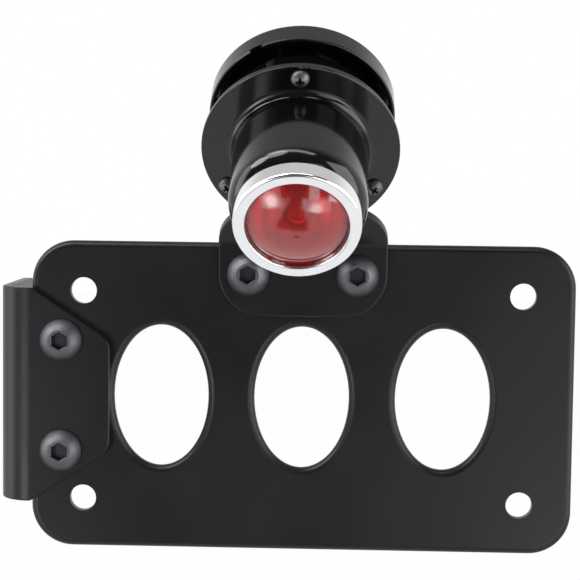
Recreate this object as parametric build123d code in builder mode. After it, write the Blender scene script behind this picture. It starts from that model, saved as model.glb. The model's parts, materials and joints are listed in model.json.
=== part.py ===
from math import cos, radians, sin
import os

from build123d import *

os.makedirs("parts", exist_ok=True)

# Frame: the plate stands upright in the XZ plane and faces the negative Y side.
# The origin is the middle of the four plate holes, on the plate's front face.

# Plate
plate_width = 181.0
plate_height = 103.0
plate_thickness = 3.0
plate_corner = 14.0
plate_front_round = 2.2
plate_back_round = 0.3
plate_hole_spacing_x = 146.05
plate_hole_spacing_z = 69.85
plate_hole_diameter = 8.8
window_width = 31.6
window_height = 47.4
window_pitch = 47.0
window_count = 3

# Both folded brackets
bracket_thickness = 3.0
bracket_edge_round = 0.5

# Side bracket, rolled back round the plate's left edge
side_height = 71.8
side_inner_radius = 8.0
side_tab_reach = 26.6
side_tab_end_height = 37.0
side_tab_corner = 5.5
side_tab_root_round = 3.0
side_bolt_inset = 10.4
side_bolt_spacing = 37.0
side_flange_length = 46.0
side_flange_corner = 12.0
side_flange_hole_diameter = 10.5
side_flange_hole_spacing = 40.0
side_flange_hole_inset = 18.0

# Lamp bracket, folded forward at the plate's top edge
lamp_tab_side_inset = 0.3
lamp_tab_drop = 24.0
lamp_tab_corner = 14.0
lamp_bolt_side_inset = 9.85
lamp_bolt_drop = 10.25
lamp_tilt = 36.0
lamp_bend_radius = 2.0
ear_corner = 13.5
ear_rise = 13.6
strip_root_round = 4.0
lamp_reach = 55.4

# Bracket bolts, washers and nuts, eight millimetre thread
bolt_diameter = 8.0
bolt_clearance = 0.4
bolt_length = 16.0
bolt_head_diameter = 14.0
bolt_head_height = 4.4
bolt_head_land = 0.6
bolt_head_flat = 7.4
bolt_socket = 5.0
bolt_socket_depth = 2.6
washer_diameter = 16.0
washer_thickness = 1.6
nut_across_flats = 13.0
nut_height = 6.5
nut_chamfer = 0.8
thread_gap = 0.1

# Lamp base, a shallow cup on the strip
cup_radius = 28.2
cup_depth = 8.2
cup_wall = 1.2
cup_floor = 1.5
cup_heel_round = 1.0
cup_inner_round = 0.8
cup_rim_round = 0.5
cup_notch_width = 4.0
cup_notch_depth = 1.2
cup_notch_angle = 119.0

# Lamp drum, a stepped can on the cup's floor
drum_wall = 1.2
drum_step_width = 4.5
drum_neck_length = 7.7
drum_side_gap = 1.1
drum_length = 13.2
drum_flange_inset = 0.5
drum_step_round = 0.5
drum_slot_width = 3.4
drum_slot_length = 11.0
drum_slot_angle = 114.0

# Gasket under the cover's flange
cover_gasket_thickness = 0.4
cover_gasket_inset = 0.9

# Lamp cover, one spun sheet from the flange to the collar
cover_wall = 1.2
flange_width = 7.1
root_cove = 2.4
barrel_radius = 20.0
barrel_length = 25.3
shoulder_radius = 6.0
shoulder_sweep = 60.0
collar_length = 2.3

# Cover screws, three millimetre thread
cover_screw_inset = 4.0
cover_screw_count = 3
cover_screw_diameter = 3.0
cover_screw_length = 6.0
cover_screw_head_diameter = 5.6
cover_screw_head_height = 2.2
cover_screw_head_flat = 2.0
cover_screw_recess = 3.2
cover_screw_recess_width = 0.8
cover_screw_recess_depth = 1.3
cover_screw_clearance = 0.2

# Lens, its gasket and the bright ring that holds them
lens_flange_inset = 0.4
lens_flange_thickness = 1.2
lens_dome_inset = 2.6
lens_dome_height = 5.0
lens_glass = 2.2
lens_gasket_thickness = 0.6
lens_gasket_width = 2.7
bezel_wall = 1.15
bezel_lip_clearance = 0.3
bezel_lip_thickness = 1.2
bezel_fit = 0.1
bezel_shoulder_gap = 0.1
bezel_front_round = 0.8

# Reflector behind the lens
reflector_sheet = 0.6
reflector_mouth_inset = 2.2
reflector_depth = 21.0
reflector_bulge = 2.6
reflector_neck_length = 2.0

# Bulb and its holder
holder_bore_radius = 5.1
holder_wall = 0.6
holder_fit = 0.1
holder_length = 15.0
holder_front = 2.5
holder_flange_radius = 8.5
holder_flange_thickness = 0.8
insulator_thickness = 1.5
insulator_setback = 0.6
contact_radius = 2.0
contact_height = 1.1
bulb_cap_radius = 4.6
bulb_cap_length = 10.0
bulb_glass_radius = 4.4
bulb_glass_length = 21.5

# Lamp mounting screws, four millimetre thread
mount_screw_inset = 6.0
mount_screw_diameter = 4.0
mount_screw_clearance = 0.4
mount_screw_length = 12.0
mount_screw_head_diameter = 8.0
mount_screw_head_height = 3.1
mount_screw_head_flat = 3.0
mount_screw_recess = 4.4
mount_screw_recess_width = 1.0
mount_screw_recess_depth = 1.9
mount_washer_diameter = 9.0
mount_washer_thickness = 0.8
mount_nut_across_flats = 7.0
mount_nut_height = 3.2
mount_nut_chamfer = 0.4

# Wire grommet through the strip and both floors
grommet_screw_gap = 1.0
grommet_lip_thickness = 1.5
grommet_groove_share = 0.75
grommet_bore_share = 0.5
grommet_fit = 0.1

# Sizes that follow the lamp's barrel and cup
lamp_tab_width = 2 * (cup_radius - lamp_tab_side_inset)
lamp_bolt_spacing = lamp_tab_width - 2 * lamp_bolt_side_inset
root_radius = barrel_radius + root_cove
flange_radius = root_radius + flange_width
drum_radius = root_radius + drum_side_gap
drum_neck_radius = drum_radius - drum_step_width
strip_width = 2 * drum_neck_radius
mount_screw_spacing = 2 * (drum_neck_radius - mount_screw_inset)
grommet_lip_radius = (mount_screw_spacing - mount_screw_head_diameter) / 2 - grommet_screw_gap
grommet_hole_radius = grommet_lip_radius * grommet_groove_share
grommet_bore_radius = grommet_hole_radius * grommet_bore_share
drum_flange_radius = flange_radius - drum_flange_inset
cover_gasket_radius = flange_radius - cover_gasket_inset
cover_screw_circle = flange_radius - cover_screw_inset
collar_radius = barrel_radius - shoulder_radius * (1 - cos(radians(shoulder_sweep)))
lens_flange_radius = collar_radius - lens_flange_inset
lens_dome_radius = collar_radius - lens_dome_inset
lens_gasket_bore = lens_flange_radius - lens_gasket_width
bezel_radius = collar_radius + bezel_fit + bezel_wall
bezel_lip_radius = lens_dome_radius + bezel_lip_clearance
reflector_mouth_radius = collar_radius - reflector_mouth_inset

# Places worked out from the sizes
plate_left = -plate_width / 2
plate_top = plate_height / 2
tilt = radians(lamp_tilt)
strip_up = Vector(0, -sin(tilt), cos(tilt))
lamp_out = Vector(0, -cos(tilt), -sin(tilt))
fold = Vector(0, -bracket_thickness, plate_top)
lamp_seat = fold + strip_up * lamp_reach
lamp_plane = Plane(origin=lamp_seat, x_dir=(1, 0, 0), z_dir=lamp_out)
spin_plane = Plane(origin=lamp_seat, x_dir=(1, 0, 0), z_dir=-strip_up)
lamp_axis = Axis(lamp_seat, lamp_out)
front_of_brackets = Plane.XZ.offset(bracket_thickness)
back_of_plate = Plane.XZ.offset(-plate_thickness)
back_of_washers = Plane.XZ.offset(-plate_thickness - washer_thickness)
bolt_hole_radius = (bolt_diameter + bolt_clearance) / 2
side_bolt_x = plate_left + side_bolt_inset
lamp_bolt_z = plate_top - lamp_bolt_drop
side_bolt_places = [(side_bolt_x, side_bolt_spacing / 2), (side_bolt_x, -side_bolt_spacing / 2)]
lamp_bolt_places = [(-lamp_bolt_spacing / 2, lamp_bolt_z), (lamp_bolt_spacing / 2, lamp_bolt_z)]

# Stations along the lamp's axis, from the strip's front face towards the lens
drum_floor_front = cup_floor + drum_wall
drum_step = cup_floor + drum_neck_length
drum_flange_back = drum_step + drum_length
drum_flange_front = drum_flange_back + drum_wall
flange_back = drum_flange_front + cover_gasket_thickness
flange_front = flange_back + cover_wall
shoulder_start = flange_front + barrel_length
collar_start = shoulder_start + shoulder_radius * sin(radians(shoulder_sweep))
collar_front = collar_start + collar_length
reflector_front = collar_front + reflector_sheet
lens_back = reflector_front + lens_gasket_thickness
lens_flange_front = lens_back + lens_flange_thickness
bezel_front = lens_flange_front + bezel_lip_thickness
bezel_back = collar_start + bezel_shoulder_gap
reflector_neck_front = collar_front - reflector_depth
reflector_neck_back = reflector_neck_front - reflector_neck_length
holder_radius = holder_bore_radius + holder_wall
holder_back = reflector_neck_front + holder_front - holder_length
insulator_back = holder_back + insulator_setback
contact_back = insulator_back + insulator_thickness
bulb_back = contact_back + contact_height
bulb_glass_back = bulb_back + bulb_cap_length
strip_back = -bracket_thickness


def spun_edges(part, radius, station):
    """Circular edges of a spun part at one radius and one station."""
    height = lamp_axis.position.dot(lamp_out) + station
    found = part.edges().filter_by(GeomType.CIRCLE)
    found = found.filter_by(lambda edge: abs(edge.radius - radius) < 0.01)
    return found.filter_by(lambda edge: abs(edge.arc_center.dot(lamp_out) - height) < 0.01)


def button_screw(diameter, length, head_diameter, head_height, land, flat, socket, depth):
    """Domed head with a hexagon socket, seated on the XY plane, shank downwards."""
    head_radius = head_diameter / 2
    with BuildPart() as screw:
        with BuildSketch(Plane.XZ):
            with BuildLine():
                Polyline(
                    (0, -length),
                    (diameter / 2, -length),
                    (diameter / 2, 0),
                    (head_radius, 0),
                    (head_radius, land),
                )
                RadiusArc((head_radius, land), (flat / 2, head_height), -head_radius)
                Polyline((flat / 2, head_height), (0, head_height), (0, -length))
            make_face()
        revolve(axis=Axis.Z)
        with BuildSketch(Plane.XY.offset(head_height)):
            RegularPolygon(socket / 2, 6, major_radius=False)
        extrude(amount=-depth, mode=Mode.SUBTRACT)
        tip = screw.edges().filter_by(GeomType.CIRCLE).sort_by(Axis.Z)[0]
        chamfer(tip, diameter / 12)
    return screw.part


def pan_screw(diameter, length, head_diameter, head_height, flat, recess, recess_width, depth):
    """Rounded head with a cross recess, seated on the XY plane, shank downwards."""
    head_radius = head_diameter / 2
    with BuildPart() as screw:
        with BuildSketch(Plane.XZ):
            with BuildLine():
                Polyline((0, -length), (diameter / 2, -length), (diameter / 2, 0), (head_radius, 0))
                RadiusArc((head_radius, 0), (flat / 2, head_height), -head_height * 1.3)
                Polyline((flat / 2, head_height), (0, head_height), (0, -length))
            make_face()
        revolve(axis=Axis.Z)
        with BuildSketch(Plane.XY.offset(head_height)):
            Rectangle(recess, recess_width)
            Rectangle(recess_width, recess)
        extrude(amount=-depth, mode=Mode.SUBTRACT)
    return screw.part


def washer(bore, outer_diameter, thickness):
    """Flat ring on the XY plane."""
    with BuildPart() as ring:
        with BuildSketch():
            Circle(outer_diameter / 2)
            Circle(bore / 2, mode=Mode.SUBTRACT)
        extrude(amount=-thickness)
    return ring.part


def hex_nut(bore, across_flats, height, corner):
    """Hexagon nut below the XY plane, its corners turned off at both ends."""
    with BuildPart() as nut:
        with BuildSketch():
            RegularPolygon(across_flats / 2, 6, major_radius=False)
            Circle(bore / 2, mode=Mode.SUBTRACT)
        extrude(amount=-height)
        corner_radius = across_flats / 2 / cos(radians(30))
        with BuildSketch(Plane.XZ):
            with BuildLine():
                Polyline(
                    (0, 0),
                    (corner_radius - corner, 0),
                    (corner_radius, -corner / 2),
                    (corner_radius, corner / 2 - height),
                    (corner_radius - corner, -height),
                    (0, -height),
                    close=True,
                )
            make_face()
        revolve(axis=Axis.Z, mode=Mode.INTERSECT)
    return nut.part


# Plate: one flat sheet, its front edges softly rounded
with BuildPart() as plate:
    with BuildSketch(Plane.XZ):
        RectangleRounded(plate_width, plate_height, plate_corner)
        with GridLocations(window_pitch, 0, window_count, 1):
            Ellipse(window_width / 2, window_height / 2, mode=Mode.SUBTRACT)
    extrude(amount=-plate_thickness)
    plate_faces = plate.faces().filter_by(Axis.Y).sort_by(Axis.Y)
    front_edges = plate_faces[0].edges()
    back_edges = plate_faces[-1].edges()
    fillet(front_edges, plate_front_round)
    fillet(back_edges, plate_back_round)
    with BuildSketch(Plane.XZ):
        with Locations(*side_bolt_places, *lamp_bolt_places):
            Circle(bolt_hole_radius)
        with GridLocations(plate_hole_spacing_x, plate_hole_spacing_z, 2, 2):
            Circle(plate_hole_diameter / 2)
    extrude(amount=-plate_thickness, mode=Mode.SUBTRACT)
plate.part.label = "plate"
export_step(plate.part, "parts/plate.step")

# Side bracket: tapered tab, large bend and a flat flange towards the rear
side_outer_radius = side_inner_radius + bracket_thickness
side_outer_x = plate_left - side_outer_radius
side_bend_end = side_inner_radius
side_flange_end = side_bend_end + side_flange_length
with BuildPart() as side_bracket:
    with BuildSketch(Plane.XZ) as side_tab:
        with BuildLine():
            Polyline(
                (plate_left, -side_height / 2),
                (plate_left + side_tab_reach, -side_tab_end_height / 2),
                (plate_left + side_tab_reach, side_tab_end_height / 2),
                (plate_left, side_height / 2),
                close=True,
            )
        make_face()
        fillet(side_tab.vertices().group_by(Axis.X)[-1], side_tab_corner)
    extrude(amount=bracket_thickness)
    with BuildSketch(Plane.XY.offset(-side_height / 2)):
        with BuildLine():
            bend_centre = (plate_left, side_bend_end)
            CenterArc(bend_centre, side_outer_radius, 180, 90)
            Line((plate_left, -bracket_thickness), (plate_left, 0))
            CenterArc(bend_centre, side_inner_radius, 180, 90)
            Polyline(
                (plate_left - side_inner_radius, side_bend_end),
                (plate_left - side_inner_radius, side_flange_end),
                (side_outer_x, side_flange_end),
                (side_outer_x, side_bend_end),
            )
        make_face()
    extrude(amount=side_height)
    flange_ends = side_bracket.edges().filter_by(Axis.X).group_by(Axis.Y)[-1]
    fillet(flange_ends, side_flange_corner)
    tab_roots = side_bracket.edges().filter_by(Axis.Y)
    tab_roots = tab_roots.filter_by(lambda edge: abs(edge.center().X - plate_left) < 0.01)
    fillet(tab_roots, side_tab_root_round)
    tab_face = side_bracket.faces().filter_by(Axis.Y).sort_by(Axis.Y)[0]
    fillet(tab_face.edges().sort_by(Axis.X)[-1], bracket_edge_round)
    with BuildSketch(front_of_brackets):
        with Locations(*side_bolt_places):
            Circle(bolt_hole_radius)
    extrude(amount=-bracket_thickness, mode=Mode.SUBTRACT)
    with BuildSketch(Plane.YZ.offset(side_outer_x)):
        with Locations((side_flange_end - side_flange_hole_inset, 0)):
            with GridLocations(0, side_flange_hole_spacing, 1, 2):
                Circle(side_flange_hole_diameter / 2)
    extrude(amount=bracket_thickness, mode=Mode.SUBTRACT)
side_bracket.part.label = "side_bracket"
export_step(side_bracket.part, "parts/side_bracket.step")

# Lamp bracket: tab on the plate, rounded ears and a strip that leans forward
ear_top = fold + strip_up * ear_rise
with BuildPart() as lamp_bracket:
    with BuildSketch(Plane.YZ):
        with BuildLine():
            FilletPolyline(
                (fold.Y, plate_top - lamp_tab_drop),
                (fold.Y, fold.Z),
                (ear_top.Y, ear_top.Z),
                radius=lamp_bend_radius,
            )
            offset(amount=bracket_thickness, side=Side.RIGHT)
        make_face()
    extrude(amount=lamp_tab_width / 2, both=True)
    fillet(lamp_bracket.edges().filter_by(Axis.Y).group_by(Axis.Z)[0], lamp_tab_corner)
    ear_edges = lamp_bracket.edges().filter_by(lamp_axis).group_by(Axis.Z)[-1]
    fillet(ear_edges, ear_corner)
    with BuildSketch(lamp_plane):
        with Locations((0, -lamp_reach / 2 + lamp_bend_radius)):
            Rectangle(strip_width, lamp_reach - 2 * lamp_bend_radius)
        Circle(strip_width / 2)
    extrude(amount=-bracket_thickness)
    root_edges = lamp_bracket.edges().filter_by(lamp_axis)
    root_edges = root_edges.filter_by(lambda edge: abs(abs(edge.center().X) - strip_width / 2) < 0.01)
    fillet(root_edges.group_by(Axis.Z)[0], strip_root_round)
    tab_face = lamp_bracket.faces().filter_by(Axis.Y).sort_by(Axis.Y)[0]
    fillet(tab_face.edges().sort_by(Axis.Z)[0], bracket_edge_round)
    with BuildSketch(front_of_brackets):
        with Locations(*lamp_bolt_places):
            Circle(bolt_hole_radius)
    extrude(amount=-bracket_thickness, mode=Mode.SUBTRACT)
    with BuildSketch(lamp_plane):
        Circle(grommet_hole_radius)
        with GridLocations(mount_screw_spacing, 0, 2, 1):
            Circle((mount_screw_diameter + mount_screw_clearance) / 2)
    extrude(amount=-bracket_thickness, mode=Mode.SUBTRACT)
lamp_bracket.part.label = "lamp_bracket"
export_step(lamp_bracket.part, "parts/lamp_bracket.step")

# Bracket bolts, washers and nuts
bracket_bolt = button_screw(
    bolt_diameter, bolt_length, bolt_head_diameter, bolt_head_height,
    bolt_head_land, bolt_head_flat, bolt_socket, bolt_socket_depth,
)
bracket_washer = washer(bolt_diameter + bolt_clearance, washer_diameter, washer_thickness)
bracket_nut = hex_nut(bolt_diameter + thread_gap, nut_across_flats, nut_height, nut_chamfer)

with BuildPart(front_of_brackets) as side_bracket_bolts:
    with Locations(*side_bolt_places):
        add(bracket_bolt)
side_bracket_bolts.part.label = "side_bracket_bolts"
export_step(side_bracket_bolts.part, "parts/side_bracket_bolts.step")

with BuildPart(back_of_plate) as side_bracket_washers:
    with Locations(*side_bolt_places):
        add(bracket_washer)
side_bracket_washers.part.label = "side_bracket_washers"
export_step(side_bracket_washers.part, "parts/side_bracket_washers.step")

with BuildPart(back_of_washers) as side_bracket_nuts:
    with Locations(*side_bolt_places):
        add(bracket_nut)
side_bracket_nuts.part.label = "side_bracket_nuts"
export_step(side_bracket_nuts.part, "parts/side_bracket_nuts.step")

with BuildPart(front_of_brackets) as lamp_bracket_bolts:
    with Locations(*lamp_bolt_places):
        add(bracket_bolt)
lamp_bracket_bolts.part.label = "lamp_bracket_bolts"
export_step(lamp_bracket_bolts.part, "parts/lamp_bracket_bolts.step")

with BuildPart(back_of_plate) as lamp_bracket_washers:
    with Locations(*lamp_bolt_places):
        add(bracket_washer)
lamp_bracket_washers.part.label = "lamp_bracket_washers"
export_step(lamp_bracket_washers.part, "parts/lamp_bracket_washers.step")

with BuildPart(back_of_washers) as lamp_bracket_nuts:
    with Locations(*lamp_bolt_places):
        add(bracket_nut)
lamp_bracket_nuts.part.label = "lamp_bracket_nuts"
export_step(lamp_bracket_nuts.part, "parts/lamp_bracket_nuts.step")

# Lamp base: a pressed cup with a round heel and a small notch in its rim
with BuildPart() as lamp_base:
    with BuildSketch(spin_plane):
        with BuildLine():
            Polyline(
                (0, 0),
                (cup_radius, 0),
                (cup_radius, cup_depth),
                (cup_radius - cup_wall, cup_depth),
                (cup_radius - cup_wall, cup_floor),
                (0, cup_floor),
                close=True,
            )
        make_face()
    revolve(axis=lamp_axis)
    fillet(spun_edges(lamp_base, cup_radius, 0), cup_heel_round)
    fillet(spun_edges(lamp_base, cup_radius - cup_wall, cup_floor), cup_inner_round)
    fillet(spun_edges(lamp_base, cup_radius, cup_depth), cup_rim_round)
    with BuildSketch(lamp_plane.offset(cup_depth)):
        with PolarLocations(cup_radius - cup_wall / 2, 1, start_angle=cup_notch_angle):
            Rectangle(cup_wall * 3, cup_notch_width)
    extrude(amount=-cup_notch_depth, mode=Mode.SUBTRACT)
    with BuildSketch(lamp_plane):
        Circle(grommet_hole_radius)
        with GridLocations(mount_screw_spacing, 0, 2, 1):
            Circle((mount_screw_diameter + mount_screw_clearance) / 2)
    extrude(amount=cup_floor, mode=Mode.SUBTRACT)
lamp_base.part.label = "lamp_base"
export_step(lamp_base.part, "parts/lamp_base.step")

# Lamp drum: neck on the cup's floor, a step, the drum's wall and its front flange
with BuildPart() as lamp_drum:
    with BuildSketch(spin_plane):
        with BuildLine():
            Polyline(
                (0, cup_floor),
                (drum_neck_radius, cup_floor),
                (drum_neck_radius, drum_step),
                (drum_radius, drum_step),
                (drum_radius, drum_flange_back),
                (drum_flange_radius, drum_flange_back),
                (drum_flange_radius, drum_flange_front),
                (drum_radius - drum_wall, drum_flange_front),
                (drum_radius - drum_wall, drum_step + drum_wall),
                (drum_neck_radius - drum_wall, drum_step + drum_wall),
                (drum_neck_radius - drum_wall, drum_floor_front),
                (0, drum_floor_front),
                close=True,
            )
        make_face()
    revolve(axis=lamp_axis)
    fillet(spun_edges(lamp_drum, drum_radius, drum_step), drum_step_round)
    slot_middle = drum_neck_radius + (drum_radius - drum_neck_radius) * 0.7
    with BuildSketch(lamp_plane.offset(drum_step)):
        with PolarLocations(slot_middle, 1, start_angle=drum_slot_angle):
            Rectangle(drum_radius - drum_neck_radius, drum_slot_width)
    extrude(amount=drum_slot_length, mode=Mode.SUBTRACT)
    with BuildSketch(lamp_plane.offset(cup_floor)):
        Circle(grommet_hole_radius)
        with GridLocations(mount_screw_spacing, 0, 2, 1):
            Circle((mount_screw_diameter + mount_screw_clearance) / 2)
    extrude(amount=drum_wall, mode=Mode.SUBTRACT)
    with BuildSketch(lamp_plane.offset(drum_flange_back)):
        with PolarLocations(cover_screw_circle, cover_screw_count, start_angle=90):
            Circle((cover_screw_diameter + thread_gap) / 2)
    extrude(amount=drum_wall, mode=Mode.SUBTRACT)
lamp_drum.part.label = "lamp_drum"
export_step(lamp_drum.part, "parts/lamp_drum.step")

# Gasket between the two flanges
with BuildPart() as cover_gasket:
    with BuildSketch(lamp_plane.offset(drum_flange_front)):
        Circle(cover_gasket_radius)
        Circle(root_radius, mode=Mode.SUBTRACT)
        with PolarLocations(cover_screw_circle, cover_screw_count, start_angle=90):
            Circle((cover_screw_diameter + cover_screw_clearance) / 2, mode=Mode.SUBTRACT)
    extrude(amount=cover_gasket_thickness)
cover_gasket.part.label = "cover_gasket"
export_step(cover_gasket.part, "parts/cover_gasket.step")

# Lamp cover: flange, cove, barrel, round shoulder and collar, spun from one sheet
with BuildPart() as lamp_cover:
    with BuildSketch(spin_plane):
        with BuildLine():
            FilletPolyline(
                (flange_radius, flange_front),
                (barrel_radius, flange_front),
                (barrel_radius, shoulder_start),
                radius=root_cove,
            )
            shoulder_centre = (barrel_radius - shoulder_radius, shoulder_start)
            CenterArc(shoulder_centre, shoulder_radius, 0, shoulder_sweep)
            Line((collar_radius, collar_start), (collar_radius, collar_front))
            offset(amount=cover_wall, side=Side.LEFT)
        make_face()
    revolve(axis=lamp_axis)
    fillet(spun_edges(lamp_cover, flange_radius, flange_front), cover_wall / 3)
    with BuildSketch(lamp_plane.offset(flange_back)):
        with PolarLocations(cover_screw_circle, cover_screw_count, start_angle=90):
            Circle((cover_screw_diameter + cover_screw_clearance) / 2)
    extrude(amount=cover_wall, mode=Mode.SUBTRACT)
lamp_cover.part.label = "lamp_cover"
export_step(lamp_cover.part, "parts/lamp_cover.step")

# Cover screws
cover_screw = pan_screw(
    cover_screw_diameter, cover_screw_length, cover_screw_head_diameter, cover_screw_head_height,
    cover_screw_head_flat, cover_screw_recess, cover_screw_recess_width, cover_screw_recess_depth,
)
with BuildPart(lamp_plane.offset(flange_front)) as cover_screws:
    with PolarLocations(cover_screw_circle, cover_screw_count, start_angle=90):
        add(cover_screw)
cover_screws.part.label = "cover_screws"
export_step(cover_screws.part, "parts/cover_screws.step")

# Reflector: a dish whose rim lies on the collar, with a neck for the bulb holder
neck_radius = holder_radius + holder_fit
with BuildPart() as reflector:
    with BuildSketch(spin_plane):
        with BuildLine():
            mouth = (reflector_mouth_radius, collar_front)
            neck = (neck_radius + reflector_sheet, reflector_neck_front)
            Line((lens_flange_radius, collar_front), mouth)
            SagittaArc(mouth, neck, reflector_bulge)
            Line(neck, (neck_radius + reflector_sheet, reflector_neck_back))
            offset(amount=reflector_sheet, side=Side.RIGHT)
        make_face()
    revolve(axis=lamp_axis)
reflector.part.label = "reflector"
export_step(reflector.part, "parts/reflector.step")

# Lens gasket
with BuildPart() as lens_gasket:
    with BuildSketch(lamp_plane.offset(reflector_front)):
        Circle(lens_flange_radius)
        Circle(lens_gasket_bore, mode=Mode.SUBTRACT)
    extrude(amount=lens_gasket_thickness)
lens_gasket.part.label = "lens_gasket"
export_step(lens_gasket.part, "parts/lens_gasket.step")

# Lens: domed glass with a flat rim under the bright ring
dome_top = lens_flange_front + lens_dome_height
with BuildPart() as lens:
    with BuildSketch(spin_plane):
        with BuildLine():
            outer_rise = lens_dome_height
            outer_ball = (lens_dome_radius**2 + outer_rise**2) / (2 * outer_rise)
            inner_mouth = lens_dome_radius - lens_glass / 2
            inner_rise = dome_top - lens_glass - lens_back
            inner_ball = (inner_mouth**2 + inner_rise**2) / (2 * inner_rise)
            Polyline(
                (inner_mouth, lens_back),
                (lens_flange_radius, lens_back),
                (lens_flange_radius, lens_flange_front),
                (lens_dome_radius, lens_flange_front),
            )
            RadiusArc((lens_dome_radius, lens_flange_front), (0, dome_top), -outer_ball)
            Line((0, dome_top), (0, dome_top - lens_glass))
            RadiusArc((0, dome_top - lens_glass), (inner_mouth, lens_back), inner_ball)
        make_face()
    revolve(axis=lamp_axis)
lens.part.label = "lens"
export_step(lens.part, "parts/lens.step")

# Bezel: bright ring pressed over the collar, its lip over the glass
with BuildPart() as lens_bezel:
    with BuildSketch(spin_plane):
        with BuildLine():
            Polyline(
                (collar_radius + bezel_fit, bezel_back),
                (bezel_radius, bezel_back),
                (bezel_radius, bezel_front),
                (bezel_lip_radius, bezel_front),
                (bezel_lip_radius, lens_flange_front),
                (collar_radius + bezel_fit, lens_flange_front),
                close=True,
            )
        make_face()
    revolve(axis=lamp_axis)
    fillet(spun_edges(lens_bezel, bezel_radius, bezel_front), bezel_front_round)
    fillet(spun_edges(lens_bezel, bezel_lip_radius, bezel_front), bezel_lip_thickness / 2)
    fillet(spun_edges(lens_bezel, bezel_radius, bezel_back), bezel_lip_thickness / 4)
lens_bezel.part.label = "lens_bezel"
export_step(lens_bezel.part, "parts/lens_bezel.step")

# Bulb holder: a tube through the reflector's neck, its flange behind the neck
with BuildPart() as bulb_holder:
    with BuildSketch(spin_plane):
        with BuildLine():
            Polyline(
                (holder_bore_radius, holder_back),
                (holder_radius, holder_back),
                (holder_radius, reflector_neck_back - holder_flange_thickness),
                (holder_flange_radius, reflector_neck_back - holder_flange_thickness),
                (holder_flange_radius, reflector_neck_back),
                (holder_radius, reflector_neck_back),
                (holder_radius, holder_back + holder_length),
                (holder_bore_radius, holder_back + holder_length),
                close=True,
            )
        make_face()
    revolve(axis=lamp_axis)
bulb_holder.part.label = "bulb_holder"
export_step(bulb_holder.part, "parts/bulb_holder.step")

# Insulator pressed into the holder's back end
with BuildPart() as holder_insulator:
    with BuildSketch(lamp_plane.offset(insulator_back)):
        Circle(holder_bore_radius)
    extrude(amount=insulator_thickness)
holder_insulator.part.label = "holder_insulator"
export_step(holder_insulator.part, "parts/holder_insulator.step")

# Contact on the insulator
with BuildPart() as bulb_contact:
    with BuildSketch(lamp_plane.offset(contact_back)):
        Circle(contact_radius)
    extrude(amount=contact_height)
bulb_contact.part.label = "bulb_contact"
export_step(bulb_contact.part, "parts/bulb_contact.step")

# Bulb cap and bulb glass
with BuildPart() as bulb_cap:
    with BuildSketch(lamp_plane.offset(bulb_back)):
        Circle(bulb_cap_radius)
    extrude(amount=bulb_cap_length)
    fillet(spun_edges(bulb_cap, bulb_cap_radius, bulb_back), bulb_cap_radius / 4)
bulb_cap.part.label = "bulb_cap"
export_step(bulb_cap.part, "parts/bulb_cap.step")

with BuildPart() as bulb_glass:
    with BuildSketch(spin_plane):
        tip_start = bulb_glass_back + bulb_glass_length - bulb_glass_radius
        with BuildLine():
            Polyline((0, tip_start), (0, bulb_glass_back), (bulb_glass_radius, bulb_glass_back),
                     (bulb_glass_radius, tip_start))
            CenterArc((0, tip_start), bulb_glass_radius, 0, 90)
            Line((0, tip_start + bulb_glass_radius), (0, tip_start))
        make_face()
    revolve(axis=lamp_axis)
bulb_glass.part.label = "bulb_glass"
export_step(bulb_glass.part, "parts/bulb_glass.step")

# Lamp mounting screws, washers and nuts
mount_screw = pan_screw(
    mount_screw_diameter, mount_screw_length, mount_screw_head_diameter, mount_screw_head_height,
    mount_screw_head_flat, mount_screw_recess, mount_screw_recess_width, mount_screw_recess_depth,
)
mount_washer = washer(
    mount_screw_diameter + mount_screw_clearance, mount_washer_diameter, mount_washer_thickness
)
mount_nut = hex_nut(
    mount_screw_diameter + thread_gap, mount_nut_across_flats, mount_nut_height, mount_nut_chamfer
)

with BuildPart(lamp_plane.offset(drum_floor_front)) as lamp_mounting_screws:
    with GridLocations(mount_screw_spacing, 0, 2, 1):
        add(mount_screw)
lamp_mounting_screws.part.label = "lamp_mounting_screws"
export_step(lamp_mounting_screws.part, "parts/lamp_mounting_screws.step")

with BuildPart(lamp_plane.offset(strip_back)) as lamp_mounting_washers:
    with GridLocations(mount_screw_spacing, 0, 2, 1):
        add(mount_washer)
lamp_mounting_washers.part.label = "lamp_mounting_washers"
export_step(lamp_mounting_washers.part, "parts/lamp_mounting_washers.step")

with BuildPart(lamp_plane.offset(strip_back - mount_washer_thickness)) as lamp_mounting_nuts:
    with GridLocations(mount_screw_spacing, 0, 2, 1):
        add(mount_nut)
lamp_mounting_nuts.part.label = "lamp_mounting_nuts"
export_step(lamp_mounting_nuts.part, "parts/lamp_mounting_nuts.step")

# Wire grommet: a groove over the strip and both floors, a lip at each end
with BuildPart() as wire_grommet:
    with BuildSketch(spin_plane):
        with BuildLine():
            Polyline(
                (grommet_bore_radius, strip_back - grommet_lip_thickness),
                (grommet_lip_radius, strip_back - grommet_lip_thickness),
                (grommet_lip_radius, strip_back),
                (grommet_hole_radius - grommet_fit, strip_back),
                (grommet_hole_radius - grommet_fit, drum_floor_front),
                (grommet_lip_radius, drum_floor_front),
                (grommet_lip_radius, drum_floor_front + grommet_lip_thickness),
                (grommet_bore_radius, drum_floor_front + grommet_lip_thickness),
                close=True,
            )
        make_face()
    revolve(axis=lamp_axis)
    lip_edges = spun_edges(wire_grommet, grommet_lip_radius, strip_back - grommet_lip_thickness)
    lip_edges += spun_edges(wire_grommet, grommet_lip_radius, drum_floor_front + grommet_lip_thickness)
    fillet(lip_edges, grommet_lip_thickness / 2)
wire_grommet.part.label = "wire_grommet"
export_step(wire_grommet.part, "parts/wire_grommet.step")
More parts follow.
